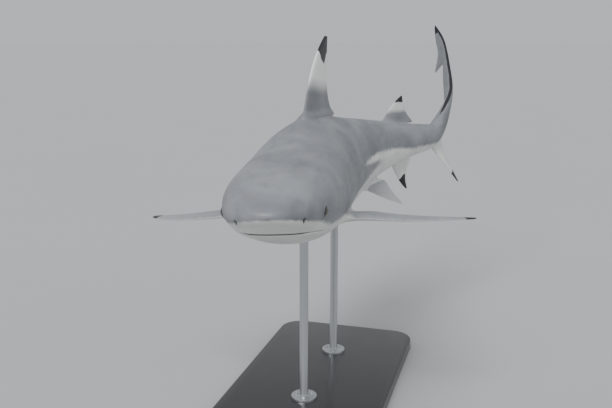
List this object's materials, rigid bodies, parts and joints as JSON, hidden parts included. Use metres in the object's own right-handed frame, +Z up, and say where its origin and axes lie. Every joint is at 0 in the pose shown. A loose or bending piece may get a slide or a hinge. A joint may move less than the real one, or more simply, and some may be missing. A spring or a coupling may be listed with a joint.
{
  "type": "blacktip reef shark, life-size still model",
  "caption": "Life-size still blacktip reef shark, swimming with its tail swept to its left, held on a plain flat base by upright steel rods.",
  "frame": {"origin": "middle of the underside of the stand's base, on the floor", "axes": "+Z up; the shark faces -Y with its left side towards +X, so its tail lies towards +Y and +X"},
  "size_m": [0.6757, 1.2188, 0.7062],
  "materials": {
    "skin_back": "cool grey shark skin, faintly satin, black fin tips",
    "skin_belly": "off-white shark skin, faintly satin",
    "eye": "glossy",
    "stand_lacquer": "black lacquered board, satin",
    "stand_steel": "brushed"
  },
  "bodies": {
    "root": {"head": "skin_back", "trunk": "skin_back", "tail_stalk": "skin_back", "caudal_upper_lobe": "skin_back", "caudal_lower_lobe": "skin_back", "first_dorsal_fin": "skin_back", "second_dorsal_fin": "skin_back", "anal_fin": "skin_back", "pectoral_fin_left": "skin_back", "pectoral_fin_right": "skin_back", "lower_jaw": "skin_belly", "pelvic_fin_left": "skin_belly", "pelvic_fin_right": "skin_belly", "eye_left": "eye", "eye_right": "eye", "stand_base": "stand_lacquer", "stand_rod_front": "stand_steel", "stand_rod_rear": "stand_steel"}
  },
  "joints": []
}
